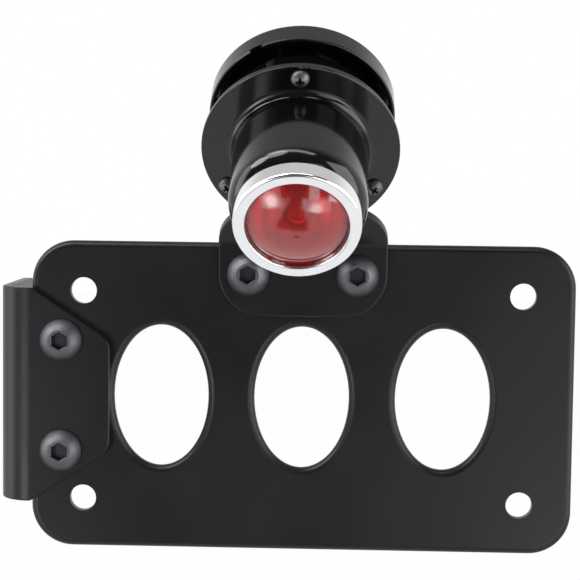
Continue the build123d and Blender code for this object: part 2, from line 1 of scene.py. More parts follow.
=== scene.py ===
# %% [markdown]
# # Side mount plate holder with a round tail lamp
#
# The solids come from the CAD pack: a flat plate, two folded brackets, a spun
# lamp and their fasteners. This script adds what Blender is good at: a camera at
# the photograph's angle, soft light, real screw threads, a hollow bulb with its
# filament, and a finish for every surface.

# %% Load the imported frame
import json
from math import cos, pi, radians, sin

import bpy
from mathutils import Matrix, Vector


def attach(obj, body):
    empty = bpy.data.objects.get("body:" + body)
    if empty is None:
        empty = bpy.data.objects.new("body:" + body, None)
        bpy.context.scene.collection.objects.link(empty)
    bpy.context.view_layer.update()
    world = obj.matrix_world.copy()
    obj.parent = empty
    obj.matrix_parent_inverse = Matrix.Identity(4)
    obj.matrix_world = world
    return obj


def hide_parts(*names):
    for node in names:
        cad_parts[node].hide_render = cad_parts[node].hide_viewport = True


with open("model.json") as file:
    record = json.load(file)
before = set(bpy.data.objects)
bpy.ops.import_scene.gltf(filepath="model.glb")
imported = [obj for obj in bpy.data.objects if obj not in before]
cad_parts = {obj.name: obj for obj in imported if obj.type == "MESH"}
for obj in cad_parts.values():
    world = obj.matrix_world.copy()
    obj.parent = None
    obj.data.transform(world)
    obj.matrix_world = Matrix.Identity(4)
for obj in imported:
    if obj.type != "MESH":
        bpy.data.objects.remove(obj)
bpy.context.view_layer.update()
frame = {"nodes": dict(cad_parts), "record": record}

mm = 0.001
nodes = frame["nodes"]
print("CAD nodes:", len(nodes))

# %% [markdown]
# ## The camera
#
# A long lens from about half a metre, a little above the plate's middle and
# turned slightly down. Its place and turn were fitted to the plate's four holes
# and edges, so the render lies over the photograph. The three axes are worked
# out from the yaw, the pitch and the roll, and go straight into the camera's
# matrix: that is plainer than a chain of Euler turns.

# %% Camera
camera_place = Vector((11.94, -550.0, 77.5)) * mm
camera_yaw = radians(-1.687)
camera_pitch = radians(4.305)
camera_roll = radians(0.729)
picture_side = 580
focal_pixels = 1662.4
sensor_width = 36.0


def camera_axes(yaw, pitch, roll):
    """Right, up and forward of a camera that looks along +Y before it turns."""
    forward = Vector((sin(yaw) * cos(pitch), cos(yaw) * cos(pitch), -sin(pitch)))
    level = Vector((cos(yaw), -sin(yaw), 0.0))
    upright = level.cross(forward)
    right = cos(roll) * level + sin(roll) * upright
    up = cos(roll) * upright - sin(roll) * level
    return right, up, forward


right, up, forward = camera_axes(camera_yaw, camera_pitch, camera_roll)
bpy.ops.object.camera_add()
camera = bpy.context.object
camera.name = "photo_camera"
turn = Matrix((right, up, -forward)).transposed().to_4x4()
camera.matrix_world = Matrix.Translation(camera_place) @ turn
camera.data.sensor_width = sensor_width
camera.data.lens = focal_pixels / picture_side * sensor_width
camera.data.clip_start = 0.01
camera.data.clip_end = 30.0
bpy.context.scene.camera = camera
print("lens in mm:", round(camera.data.lens, 2))

# %% [markdown]
# ## Writing shader sums as plain maths
#
# A finish is a small graph of nodes. Wiring every Math node by hand hides what
# is worked out, so one class stands for a socket and turns a sum on it into a
# Math node. `1 - mask` works as well as `mask * 2`. Every other node comes from
# one method: its type, its settings, then the values or links of its sockets.


# %% Shader sockets that take part in sums
class Wire:
    """One shader socket. A sum on it adds a Math node to the same finish."""

    def __init__(self, finish, socket):
        self.finish = finish
        self.socket = socket

    def sum_with(self, operation, *values):
        return self.finish.node("ShaderNodeMath", {"operation": operation}, values)

    def __add__(self, other):
        return self.sum_with("ADD", self, other)

    def __radd__(self, other):
        return self.sum_with("ADD", other, self)

    def __sub__(self, other):
        return self.sum_with("SUBTRACT", self, other)

    def __rsub__(self, other):
        return self.sum_with("SUBTRACT", other, self)

    def __mul__(self, other):
        return self.sum_with("MULTIPLY", self, other)

    def __rmul__(self, other):
        return self.sum_with("MULTIPLY", other, self)

    def unsigned(self):
        return self.sum_with("ABSOLUTE", self)

    def between(self, low, high):
        """0 at low, 1 at high, smooth between."""
        settings = {"interpolation_type": "SMOOTHSTEP"}
        values = {"Value": self, "From Min": low, "From Max": high}
        return self.finish.node("ShaderNodeMapRange", settings, values)


class Finish:
    """The node graph of one material, or of the world."""

    def __init__(self, owner):
        owner.use_nodes = True
        self.owner = owner
        self.tree = owner.node_tree
        self.tree.nodes.clear()

    def node(self, kind, settings=None, values=(), output=0):
        """Adds a node. Values are a list in socket order, or a dictionary by socket."""
        made = self.tree.nodes.new(kind)
        for name, value in (settings or {}).items():
            setattr(made, name, value)
        pairs = values.items() if isinstance(values, dict) else enumerate(values)
        for key, value in pairs:
            if isinstance(value, Wire):
                self.tree.links.new(value.socket, made.inputs[key])
            else:
                made.inputs[key].default_value = value
        return Wire(self, made.outputs[output])

    def out(self, kind, shader):
        """Links the shader to the output node, which completes the finish."""
        end = self.tree.nodes.new(kind)
        self.tree.links.new(shader.socket, end.inputs["Surface"])
        print(self.owner.name, "nodes:", len(self.tree.nodes))


print("shader sums ready")

# %% [markdown]
# ## A pale room
#
# The object hangs in front of a white sweep, as in a catalogue picture. The world
# is white to what the camera sees of it. Black gloss shows the room it stands in,
# so the room in front is dark to a mirrored ray, and the room above a little
# dimmer than the room behind. All other rays get a plain fill.

# %% World
bpy.context.scene.view_settings.view_transform = "Standard"
room_back = 1.0
room_high = 0.62
room_front = 0.11
room_fill = 0.45
high_start = 0.25
high_end = 0.75
front_side = -0.35
back_side = 0.25


def ray_kinds(finish):
    """1 for a ray from the camera or through glass, and 1 for a mirrored ray."""
    camera_ray, mirror_ray, glass_ray = [
        finish.node("ShaderNodeLightPath", output=f"Is {kind} Ray")
        for kind in ("Camera", "Glossy", "Transmission")]
    return camera_ray + glass_ray, mirror_ray * (1 - glass_ray)


world = bpy.data.worlds.new("pale_room")
bpy.context.scene.world = world
room = Finish(world)
seen, mirror_ray = ray_kinds(room)
direction = room.node("ShaderNodeTexCoord", output="Generated")
depth = room.node("ShaderNodeSeparateXYZ", None, {0: direction}, output="Y")
height = room.node("ShaderNodeSeparateXYZ", None, {0: direction}, output="Z")
behind = room_back - height.between(high_start, high_end) * (room_back - room_high)
mirrored = room_front + depth.between(front_side, back_side) * (behind - room_front)
other = 1 - seen - mirror_ray
level = seen + mirror_ray * mirrored + other * room_fill
glow = room.node("ShaderNodeBackground", None, {"Color": (1, 1, 1, 1), "Strength": level})
room.out("ShaderNodeOutputWorld", glow)

# %% [markdown]
# ### The floor
#
# The floor glows white, with a small matt share that keeps the object's shadow. A
# mirrored ray sees it dark far out in front, and in a strip before and below the
# lens. Without those the plate would look washed out and the red glass pale.

# %% Floor
floor_height = -0.280
floor_side = 8.0
floor_white = 1.02
floor_gloss = 0.96
matt_tone = (0.9, 0.9, 0.9, 1)
white_share = 0.94
strip_middle = -0.05
strip_half_width = 0.11
strip_fade = 1.6
strip_start = -0.21
strip_edge = 0.06
front_start = -0.80
front_end = -1.50

bpy.ops.mesh.primitive_plane_add(size=floor_side, location=(0, 0, floor_height))
floor = bpy.context.object
floor.name = "floor"
floor_paint = Finish(bpy.data.materials.new("floor_paint"))
seen, mirror_ray = ray_kinds(floor_paint)
place = floor_paint.node("ShaderNodeTexCoord", output="Object")
across = floor_paint.node("ShaderNodeSeparateXYZ", None, {0: place}, output="X")
along = floor_paint.node("ShaderNodeSeparateXYZ", None, {0: place}, output="Y")
strip_outside = strip_half_width * strip_fade
off_strip = (across - strip_middle).unsigned().between(strip_half_width, strip_outside)
past_start = along.between(strip_start - strip_edge, strip_start)
not_front = along.between(front_end, front_start)
bright = (1 - (1 - off_strip) * (1 - past_start)) * not_front
mirrored = room_front + bright * (floor_gloss - room_front)
shown = floor_white - mirror_ray * (floor_white - mirrored)
matt = floor_paint.node("ShaderNodeBsdfDiffuse", None, {"Color": matt_tone})
white = floor_paint.node("ShaderNodeEmission", None, {"Color": (1, 1, 1, 1), "Strength": shown})
share = (seen + mirror_ray) * white_share
mixed = floor_paint.node("ShaderNodeMixShader", None, {0: share, 1: matt, 2: white})
floor_paint.out("ShaderNodeOutputMaterial", mixed)
floor.data.materials.append(floor_paint.owner)
print("floor at", floor_height / mm, "mm")

# %% [markdown]
# ## Soft lamps
#
# Each lamp is given by its glow, because a gloss surface shows that number. A wide
# one on the right puts the light band on the left edge of each oval window, and a
# smaller one nearer the front lifts the plate's right side. A tall one on the left
# is the band on the rolled bracket. Two round ones above it light the bolt heads
# and the lamp's upper left side. A long one high in front draws the line on the
# lamp's shoulder and on the bright ring. Two lamps below, of three layers each,
# the smaller the brighter, are the soft spots in the red glass.

# %% Lamps
lamp_tint = (0.95, 0.965, 1.0)


def soft_box(name, azimuth, elevation, distance, size, glow, aim=(0, 0, 0)):
    """A soft lamp that faces the aim. Azimuth 0 is the camera's side, 90 the right.

    Size is a width and a height, or one diameter for a round lamp.
    """
    a, e = radians(azimuth), radians(elevation)
    away = Vector((sin(a) * cos(e), -cos(a) * cos(e), sin(e)))
    bpy.ops.object.light_add(type="AREA", location=Vector(aim) * mm + away * distance)
    lamp = bpy.context.object
    lamp.name = name
    lamp.rotation_euler = away.to_track_quat("Z", "Y").to_euler()
    lamp.visible_camera = False
    lamp.data.color = lamp_tint
    if isinstance(size, tuple):
        lamp.data.shape = "RECTANGLE"
        lamp.data.size, lamp.data.size_y = size
        area = size[0] * size[1]
    else:
        lamp.data.shape = "DISK"
        lamp.data.size = size
        area = pi * size**2 / 4
    lamp.data.energy = glow * pi * area
    print(name, "watts", round(lamp.data.energy, 2))


soft_box("right_soft_box", 64, 6, 1.0, (0.80, 1.0), 3.4)
soft_box("right_front_soft_box", 22, -4, 1.2, (0.30, 0.60), 2.2)
soft_box("left_soft_box", -85, 5, 1.0, (0.42, 1.0), 2.6)
soft_box("left_high_soft_box", -70, 36, 1.0, 0.44, 8.5)
soft_box("left_higher_soft_box", -50, 55, 1.01, 0.46, 5.5)
soft_box("shoulder_soft_box", -25, 68, 1.0, (1.20, 0.22), 4.5)

lens_middle = (0, -82, 58)
layer_step = 0.01
left_layers = [((0.40, 0.50), 1.0), (0.29, 2.0), (0.18, 3.4)]
right_layers = [((0.46, 0.30), 0.8), (0.24, 1.5), (0.15, 2.5)]
for layer, (on_left, on_right) in enumerate(zip(left_layers, right_layers)):
    nearer = layer_step * layer
    soft_box(f"left_lens_lamp_{layer}", -40, -19, 0.70 - nearer, *on_left, lens_middle)
    soft_box(f"right_lens_lamp_{layer}", 29, -31, 0.60 - nearer, *on_right, lens_middle)

# %% [markdown]
# ## Hand tools
#
# Small helpers for modelling with operators: select one piece, apply a modifier,
# use one shape to cut or join another, and put copies of a piece in their places.


# %% Modelling helpers
def only(piece):
    """Selects one piece and nothing else."""
    bpy.ops.object.select_all(action="DESELECT")
    piece.select_set(True)
    bpy.context.view_layer.objects.active = piece


def apply_modifier(piece, kind, **settings):
    """Adds a modifier and applies it at once."""
    only(piece)
    modifier = piece.modifiers.new(kind.lower(), kind)
    for name, value in settings.items():
        setattr(modifier, name, value)
    bpy.ops.object.modifier_apply(modifier=modifier.name)


def combine(piece, other, how):
    """Joins two bodies, or cuts one with the other. The other one is used up."""
    apply_modifier(piece, "BOOLEAN", operation=how, object=other, solver="EXACT")
    bpy.data.objects.remove(other)


def smooth(piece, angle):
    """Smooth shading, but for edges that turn by more than angle degrees."""
    only(piece)
    bpy.ops.object.shade_smooth_by_angle(angle=radians(angle))


def placed(piece, name, matrix):
    """Moves a piece to its place, keeps the place in its mesh and names it."""
    only(piece)
    piece.matrix_world = matrix
    bpy.ops.object.transform_apply(location=True, rotation=True, scale=True)
    piece.name = name
    piece.data.name = name
    return piece


def copies_at(model, name, matrices):
    """Copies of one model, each placed by a matrix and joined under one name."""
    made = []
    for matrix in matrices:
        only(model)
        bpy.ops.object.duplicate()
        made.append(placed(bpy.context.object, name, matrix))
    bpy.ops.object.select_all(action="DESELECT")
    for copy in made:
        copy.select_set(True)
    bpy.context.view_layer.objects.active = made[0]
    bpy.ops.object.join()
    return made[0]


print("modelling helpers ready")

# %% [markdown]
# ### Turned and swept bodies
#
# Nearly every new part is round. Its profile is turned by extruding a circle
# upwards ring by ring, and scaling each new ring to its radius. A thread and a
# filament are coils: a small ring is swept by the Screw modifier, and the two
# ends that it leaves open are filled.


# %% Turned and swept bodies
def turned(name, profile, sides=48):
    """A closed body turned on the Z axis, drawn as (radius, height) from its bottom up."""
    bpy.ops.object.select_all(action="DESELECT")
    radius, height = profile[0]
    bpy.ops.mesh.primitive_circle_add(vertices=sides, radius=radius * mm, fill_type="NGON",
                                      location=(0, 0, height * mm))
    piece = bpy.context.object
    piece.name = name
    bpy.ops.object.transform_apply(location=True)
    bpy.ops.object.mode_set(mode="EDIT")
    bpy.ops.mesh.select_all(action="SELECT")
    for next_radius, next_height in profile[1:]:
        rise = (0, 0, (next_height - height) * mm)
        bpy.ops.mesh.extrude_region_move(TRANSFORM_OT_translate={"value": rise})
        share = next_radius / radius
        bpy.ops.transform.resize(value=(share, share, 1), center_override=(0, 0, next_height * mm))
        radius, height = next_radius, next_height
    bpy.ops.mesh.select_all(action="SELECT")
    bpy.ops.mesh.normals_make_consistent(inside=False)
    bpy.ops.object.mode_set(mode="OBJECT")
    return piece


def helix(sides, wire, radius, start, pitch, turns, steps, roll=0.0, rounded=False):
    """A closed coil round the Z axis: a section of a few sides, swept at a radius."""
    bpy.ops.object.select_all(action="DESELECT")
    bpy.ops.mesh.primitive_circle_add(vertices=sides, radius=wire * mm, fill_type="NOTHING",
                                      location=(radius * mm, 0, start * mm),
                                      rotation=(pi / 2, roll, 0))
    coil = bpy.context.object
    bpy.ops.object.transform_apply(location=True, rotation=True)
    apply_modifier(coil, "SCREW", axis="Z", angle=2 * pi, screw_offset=pitch * mm,
                   iterations=turns, steps=steps, render_steps=steps, use_smooth_shade=rounded)
    bpy.ops.object.mode_set(mode="EDIT")
    bpy.ops.mesh.select_all(action="SELECT")
    bpy.ops.mesh.fill_holes(sides=sides)
    bpy.ops.mesh.select_all(action="SELECT")
    bpy.ops.mesh.normals_make_consistent(inside=False)
    bpy.ops.object.mode_set(mode="OBJECT")
    return coil


print("turned and swept bodies ready")

# %% [markdown]
# ## Screws with real threads
#
# A bolt is a headed blank with a helical ridge. The ridge is one small triangle
# with the sixty degree flanks of a standard thread, swept by the Screw modifier:
# one turn lifts it by the pitch. It is joined to a core a little thinner than the
# blank, and the tip and the neck stay plain, as on a rolled thread.

# %% Screw parts
# Shares of the pitch: the ridge's section, its height, and the plain tip.
ridge_section = 0.49
ridge_height = 0.6
plain_tip = 1.1
# Shares of the core's radius: the tip's bevel. Share of the radius: the neck.
tip_radius = 0.62
tip_length = 0.38
neck_radius = 0.985
thread_steps = 28


def thread_ridge(radius, pitch, low, high):
    """A closed helical ridge round the Z axis from height low to height high."""
    reach = ridge_section * pitch
    turns = int((high - low) / pitch)
    return helix(sides=3, wire=reach, radius=radius - reach, start=low, pitch=pitch,
                 turns=turns, steps=thread_steps, roll=pi / 2)


def screw_blank(name, radius, pitch, length, head, sides=48):
    """A turned screw with a threaded core. Head is its own profile above the seat."""
    core = radius - ridge_height * pitch
    profile = [(core * tip_radius, -length), (core, -length + core * tip_length),
               (core, -pitch), (radius * neck_radius, -pitch / 2),
               (radius * neck_radius, 0.0), *head]
    piece = turned(name, profile, sides)
    ridge = thread_ridge(radius, pitch, -length + plain_tip * pitch, -pitch)
    combine(piece, ridge, "UNION")
    return piece


def mark_hollow(piece, reach, top):
    """Marks a recess for painted shade: inside reach of the Z axis, above the seat and below top.
    """
    hollow = piece.data.attributes.new("hollow", "FLOAT", "POINT")
    for vertex in piece.data.vertices:
        inside = vertex.co.xy.length < reach * mm and 0 < vertex.co.z < top * mm
        hollow.data[vertex.index].value = 1.0 if inside else 0.0


def arc_profile(start, end, radius, steps):
    """Points of an outward arc from start to end, both (radius, height), as on a head."""
    a, b = Vector(start), Vector(end)
    chord = b - a
    inward = Vector((-chord.y, chord.x)).normalized()
    centre = (a + b) / 2 + inward * (radius**2 - (chord.length / 2) ** 2) ** 0.5
    first = a - centre
    sweep = first.angle_signed(b - centre)
    points = []
    for i in range(steps + 1):
        angle = -sweep * i / steps
        points.append((centre.x + first.x * cos(angle) - first.y * sin(angle),
                       centre.y + first.x * sin(angle) + first.y * cos(angle)))
    return points


print("screw helpers ready")

# %% [markdown]
# ### Bracket bolts
#
# Four button head bolts of eight millimetres hold the two brackets to the plate.
# The dome is an arc between the low land and the flat top. The hexagon socket is
# cut by a six sided bar with a flared mouth, which gives the small bright ring
# round the socket. Points inside the socket are marked, so that the finish can be
# darker there: painted shade in the socket.

# %% Bracket bolts
bolt_radius = 4.0
bolt_pitch = 1.25
bolt_length = 16.0
head_radius = 7.0
head_edge = 0.15
head_land = 0.6
head_height = 4.4
head_flat = 3.7
flat_edge = 0.3
dome_steps = 10
socket_across = 5.0
socket_depth = 2.6
mouth_depth = 0.35
mouth_flare = 0.45
mouth_above = 0.1
bar_above = 1.0
mark_margin = 0.1
bracket_front = -3.0
side_bolt_places = [(-80.1, 18.5), (-80.1, -18.5)]
lamp_bolt_places = [(-18.05, 41.25), (18.05, 41.25)]

dome = arc_profile((head_radius, head_land), (head_flat, head_height), head_radius, dome_steps)
bolt = screw_blank("bracket_bolt", bolt_radius, bolt_pitch, bolt_length,
                   [(head_radius - head_edge, 0.0), (head_radius, head_edge), *dome,
                    (head_flat - flat_edge, head_height)])
corner = socket_across / 2 / cos(pi / 6)
bar_profile = [(corner, head_height - socket_depth), (corner, head_height - mouth_depth),
               (corner + mouth_flare, head_height + mouth_above),
               (corner + mouth_flare, head_height + bar_above)]
combine(bolt, turned("socket_bar", bar_profile, sides=6), "DIFFERENCE")
smooth(bolt, 30)
# The socket is marked for painted shade.
mark_hollow(bolt, corner + mark_margin, head_height - mark_margin)


def on_brackets(places):
    """Places (x, z) on the brackets' front face, with a screw's head to the front."""
    to_front = Matrix.Rotation(pi / 2, 4, "X")
    return [Matrix.Translation(Vector((x, bracket_front, z)) * mm) @ to_front for x, z in places]


side_bracket_bolts = copies_at(bolt, "side_bracket_bolts_threaded", on_brackets(side_bolt_places))
lamp_bracket_bolts = copies_at(bolt, "lamp_bracket_bolts_threaded", on_brackets(lamp_bolt_places))
bpy.data.objects.remove(bolt)
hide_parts("side_bracket_bolts")
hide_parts("lamp_bracket_bolts")
print("faces in two bolts:", len(side_bracket_bolts.data.polygons))

# %% [markdown]
# ### Places on the lamp
#
# The lamp is tilted down on its strip, so its screws and its bulb are made upright
# on the Z axis and placed in the lamp's own frame. The seat and the tilt come from
# the record's outlet mount, whose axis points away from the lens.

# %% The lamp's frame
outlet = {row["name"]: row for row in frame["record"]["mounts"]}["wire_outlet"]
lamp_seat = Vector(outlet["pos_m"])
lamp_out = -Vector(outlet["axis"])
strip_up = lamp_out.cross(Vector((1, 0, 0)))


def on_lamp(x, y, station, turn=0.0):
    """A place in the lamp's own frame: right, up the strip and out towards the lens."""
    basis = Matrix((Vector((1, 0, 0)), strip_up, lamp_out)).transposed().to_4x4()
    shift = Matrix.Translation(Vector((x, y, station)) * mm)
    return Matrix.Translation(lamp_seat) @ basis @ shift @ Matrix.Rotation(turn, 4, "Z")


print("the lamp points to", [round(value, 3) for value in lamp_out])

# %% [markdown]
# ### Pan head screws
#
# Three small screws hold the lamp's flange, and two larger ones hold its cup to
# the strip. The head is a low arc. Its cross recess is cut by two tapered wings:
# a four sided frustum, squeezed flat, then the same turned by a right angle. The
# bottom of the recess is marked as the bolts' sockets are, for painted shade.

# %% Pan head screws
head_bevel = 0.1
head_rim = 0.12
arc_share = 1.3
arc_steps = 8
wing_foot = 0.30
wing_mouth = 0.71
wing_above = 0.2
dark_below = 0.75
flange_front = 25.2
cover_screw_circle = 25.5
cover_screw_angles = (90, 210, 330)
drum_floor_front = 2.7
mount_screw_spacing = 26.0


def cross_wing(length, width, top, depth, turn):
    """A tapered wing of a cross recess, upright on the Z axis."""
    profile = [(length * wing_foot, top - depth), (length * wing_mouth, top + wing_above)]
    wing = turned("wing", profile, sides=4)
    only(wing)
    wing.rotation_euler.z = pi / 4
    bpy.ops.object.transform_apply(rotation=True)
    wing.scale = (1, width / length, 1)
    wing.rotation_euler.z = turn
    bpy.ops.object.transform_apply(rotation=True, scale=True)
    return wing


def pan_head_screw(name, radius, pitch, length, head, height, flat, recess, width, depth):
    """A threaded screw with a domed head and a cross recess, its seat on the XY plane."""
    arc = arc_profile((head, head_rim), (flat, height), height * arc_share, arc_steps)
    screw = screw_blank(name, radius, pitch, length, [(head - head_bevel, 0.0), *arc], sides=40)
    for turn in (0.0, pi / 2):
        combine(screw, cross_wing(recess, width, height, depth, turn), "DIFFERENCE")
    smooth(screw, 30)
    # The bottom of the recess is marked for painted shade.
    mark_hollow(screw, recess / 2, height - depth * dark_below)
    return screw


small_screw = pan_head_screw("small_screw", radius=1.5, pitch=0.5, length=6.0, head=2.8,
                             height=2.2, flat=1.0, recess=3.2, width=0.8, depth=1.3)
flange_places = [on_lamp(cover_screw_circle * cos(a), cover_screw_circle * sin(a), flange_front, a)
                 for a in map(radians, cover_screw_angles)]
cover_screws = copies_at(small_screw, "cover_screws_threaded", flange_places)
bpy.data.objects.remove(small_screw)
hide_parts("cover_screws")

large_screw = pan_head_screw("large_screw", radius=2.0, pitch=0.7, length=12.0, head=4.0,
                             height=3.1, flat=1.5, recess=4.4, width=1.0, depth=1.9)
cup_places = [on_lamp(side * mount_screw_spacing / 2, 0, drum_floor_front) for side in (-1, 1)]
mounting_screws = copies_at(large_screw, "lamp_mounting_screws_threaded", cup_places)
bpy.data.objects.remove(large_screw)
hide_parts("lamp_mounting_screws")
print("faces in three small screws:", len(cover_screws.data.polygons))

# %% [markdown]
# ### The bulb's glass
#
# The CAD bulb is one solid body. Here it is a thin glass envelope of the same
# outside, with the inside cut out, and a pressed glass stem that rises from its
# foot. Both are turned profiles, as a glass blower makes them.

# %% Bulb glass
bulb_radius = 4.4
bulb_back = 37.7
bulb_tip = 59.2
bulb_wall = 0.45
bulb_floor = bulb_back + 0.8
beside_tip = radians(88.5)
stem_profile = [(2.4, 0.8), (2.2, 3.0), (1.3, 5.5), (1.1, 7.0), (0.6, 7.6)]


def dome_profile(radius, tip, steps=10):
    """A quarter circle from the wall to just beside the tip."""
    angles = [radians(90) * i / steps for i in range(steps)] + [beside_tip]
    return [(radius * cos(a), tip - radius + radius * sin(a)) for a in angles]


envelope = turned("bulb_envelope", [(bulb_radius, bulb_back),
                                    *dome_profile(bulb_radius, bulb_tip)], sides=56)
inner_radius = bulb_radius - bulb_wall
cavity = turned("cavity", [(inner_radius, bulb_floor),
                           *dome_profile(inner_radius, bulb_tip - bulb_wall)], sides=56)
combine(envelope, cavity, "DIFFERENCE")
smooth(envelope, 40)
envelope = placed(envelope, "bulb_glass_hollow", on_lamp(0, 0, 0))
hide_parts("bulb_glass")

stem = turned("stem", [(radius, bulb_back + height) for radius, height in stem_profile], sides=32)
smooth(stem, 40)
stem = placed(stem, "bulb_stem", on_lamp(0, 0, 0))
print("faces in the envelope:", len(envelope.data.polygons))

# %% [markdown]
# ### The bulb's filament
#
# Two thin posts lean outwards from the stem and hold a coiled wire between them.
# A post is a turned pin whose top points are moved aside in edit mode. The coil is
# a small ring swept by the Screw modifier, then laid across the bulb.

# %% Filament
filament_height = 52.0
filament_half = 2.2
post_radius = 0.16
post_foot = bulb_back + 6.6
post_spread = 0.75
top_margin = 0.1
wire_radius = 0.07
coil_radius = 0.42
coil_pitch = 0.22
coil_turns = 20


def leaning_post(side):
    """A pin that stands beside the axis and leans out to the filament's end."""
    post = turned("post", [(post_radius, post_foot), (post_radius, filament_height)], sides=12)
    post.location.x = side * post_spread * mm
    only(post)
    bpy.ops.object.transform_apply(location=True)
    bpy.ops.object.mode_set(mode="EDIT")
    bpy.ops.mesh.select_all(action="DESELECT")
    bpy.ops.object.mode_set(mode="OBJECT")
    for vertex in post.data.vertices:
        vertex.select = vertex.co.z > (filament_height - top_margin) * mm
    bpy.ops.object.mode_set(mode="EDIT")
    bpy.ops.transform.translate(value=(side * (filament_half - post_spread) * mm, 0, 0))
    bpy.ops.object.mode_set(mode="OBJECT")
    return post


posts = leaning_post(-1)
combine(posts, leaning_post(1), "UNION")
posts = placed(posts, "filament_posts", on_lamp(0, 0, 0))

coil = helix(sides=8, wire=wire_radius, radius=coil_radius, start=-filament_half,
             pitch=coil_pitch, turns=coil_turns, steps=16, rounded=True)
coil_place = on_lamp(0, 0, filament_height) @ Matrix.Rotation(pi / 2, 4, "Y")
coil = placed(coil, "bulb_filament", coil_place)
print("filament faces:", len(coil.data.polygons))

# %% [markdown]
# ## Finishes
#
# Every finish is worked out from Object coordinates, so that a pattern stays on
# the piece from any side and at any size of picture. Two noises do most of the
# work: a slow one makes the tone and the gloss drift a little, and a fine one,
# mostly a few tenths of a millimetre wide, is the grain. What is the same all
# over a surface is set on the shader itself.


# %% Parts that all finishes share
def new_finish(name):
    return Finish(bpy.data.materials.new(name))


def place_on(finish):
    return finish.node("ShaderNodeTexCoord", output="Object")


def noise(finish, place, size, detail=2.0, roughness=0.5):
    """A noise whose lumps are about size millimetres wide."""
    values = {"Vector": place, "Scale": 1 / (size * mm), "Detail": detail, "Roughness": roughness}
    return finish.node("ShaderNodeTexNoise", None, values)


def blend(finish, share, first, second):
    """A colour between two, by share."""
    first, second = [colour if isinstance(colour, Wire) else (*colour, 1.0)
                     for colour in (first, second)]
    return finish.node("ShaderNodeMix", {"data_type": "RGBA"},
                       {0: share, 6: first, 7: second}, output=2)


def relief(finish, height, depth, strength):
    """A bump: height 0 to 1 stands for depth millimetres."""
    values = {"Height": height, "Strength": strength, "Distance": depth * mm}
    return finish.node("ShaderNodeBump", None, values)


def coat_with(finish, constants, varying):
    """The finish's own shader, with what is constant and what varies over the surface."""
    made = finish.node("ShaderNodeBsdfPrincipled", None, {**constants, **varying})
    finish.out("ShaderNodeOutputMaterial", made)
    return finish.owner


print("finish helpers ready")

# %% [markdown]
# ### Satin black powder coat
#
# Plate and brackets are steel under a baked powder coat. Up close it is slightly
# pebbly, which is what makes its shine broad and soft. The brackets came from
# another batch and are a touch glossier.


# %% Powder coat
def powder_coat(name, dark, light, gloss, pebble):
    """Two tones, how rough it is, and the width of its pebbles in millimetres."""
    finish = new_finish(name)
    place = place_on(finish)
    drift = noise(finish, place, size=40).between(0.35, 0.65)
    grain = noise(finish, place, size=pebble, detail=3, roughness=0.55)
    speck = noise(finish, place, size=0.9, detail=1).between(0.62, 0.78)
    tone = blend(finish, drift * 0.6 + speck * 0.4, dark, light)
    rough = gloss + drift * 0.05 + grain * 0.08
    return coat_with(finish, {"Specular IOR Level": 0.34},
                     {"Base Color": tone, "Roughness": rough,
                      "Normal": relief(finish, grain, depth=0.03, strength=0.5)})


plate_coat = powder_coat("plate_coat", dark=(0.0020, 0.0022, 0.0022),
                         light=(0.0040, 0.0042, 0.0042), gloss=0.30, pebble=0.35)
bracket_coat = powder_coat("bracket_coat", dark=(0.0024, 0.0026, 0.0028),
                           light=(0.0048, 0.0050, 0.0054), gloss=0.28, pebble=0.30)

# %% [markdown]
# ### Gloss enamel on the lamp
#
# The lamp is dipped in a harder, shinier black. Enamel flows, so its surface has
# slow waves of a few millimetres in place of a grain, and a little dust dulls it.


# %% Gloss enamel
def gloss_enamel(name, dark, dusty):
    """A clean tone and the tone of its dust specks."""
    finish = new_finish(name)
    place = place_on(finish)
    wave = noise(finish, place, size=5)
    dust = noise(finish, place, size=0.5).between(0.66, 0.82)
    return coat_with(finish, {"Specular IOR Level": 0.5, "IOR": 1.5},
                     {"Base Color": blend(finish, dust, dark, dusty),
                      "Roughness": 0.09 + dust * 0.12 + wave * 0.04,
                      "Normal": relief(finish, wave, depth=0.02, strength=0.3)})


lamp_black = gloss_enamel("lamp_black", dark=(0.0022, 0.0022, 0.0028), dusty=(0.012, 0.012, 0.014))

# %% [markdown]
# ### Bare and plated metals
#
# A metal is one function: its tone, how rough it is and how fine its marks are.
# Blackened bolts are grey and satin, the bezel is chrome, the screws are steel,
# washers and nuts are zinc plated, and the bulb's cap and holder are brass. Where
# a socket or a recess was marked, painted shade takes the tone down.


# %% Metals
def metal(name, tone, shade, rough, mark_size, mark_depth, spread=0.10, recess_shade=0.0):
    """A metal of two tones, with marks so many millimetres wide and deep.

    Spread is how much its roughness varies. The last argument is painted shade: how black a marked
    hollow is.
    """
    finish = new_finish(name)
    place = place_on(finish)
    drift = noise(finish, place, size=6).between(0.3, 0.7)
    marks = noise(finish, place, size=mark_size, roughness=0.6)
    # Painted shade: where a socket or recess is marked, the tone is darkened towards black.
    hollow = finish.node("ShaderNodeAttribute", {"attribute_name": "hollow"}, output="Fac")
    colour = blend(finish, hollow * recess_shade, blend(finish, drift, tone, shade), (0.0, 0.0, 0.0))
    return coat_with(finish, {"Metallic": 1.0},
                     {"Base Color": colour,
                      "Roughness": rough + drift * spread * 0.5 + marks * spread,
                      "Normal": relief(finish, marks, depth=mark_depth, strength=0.4)})
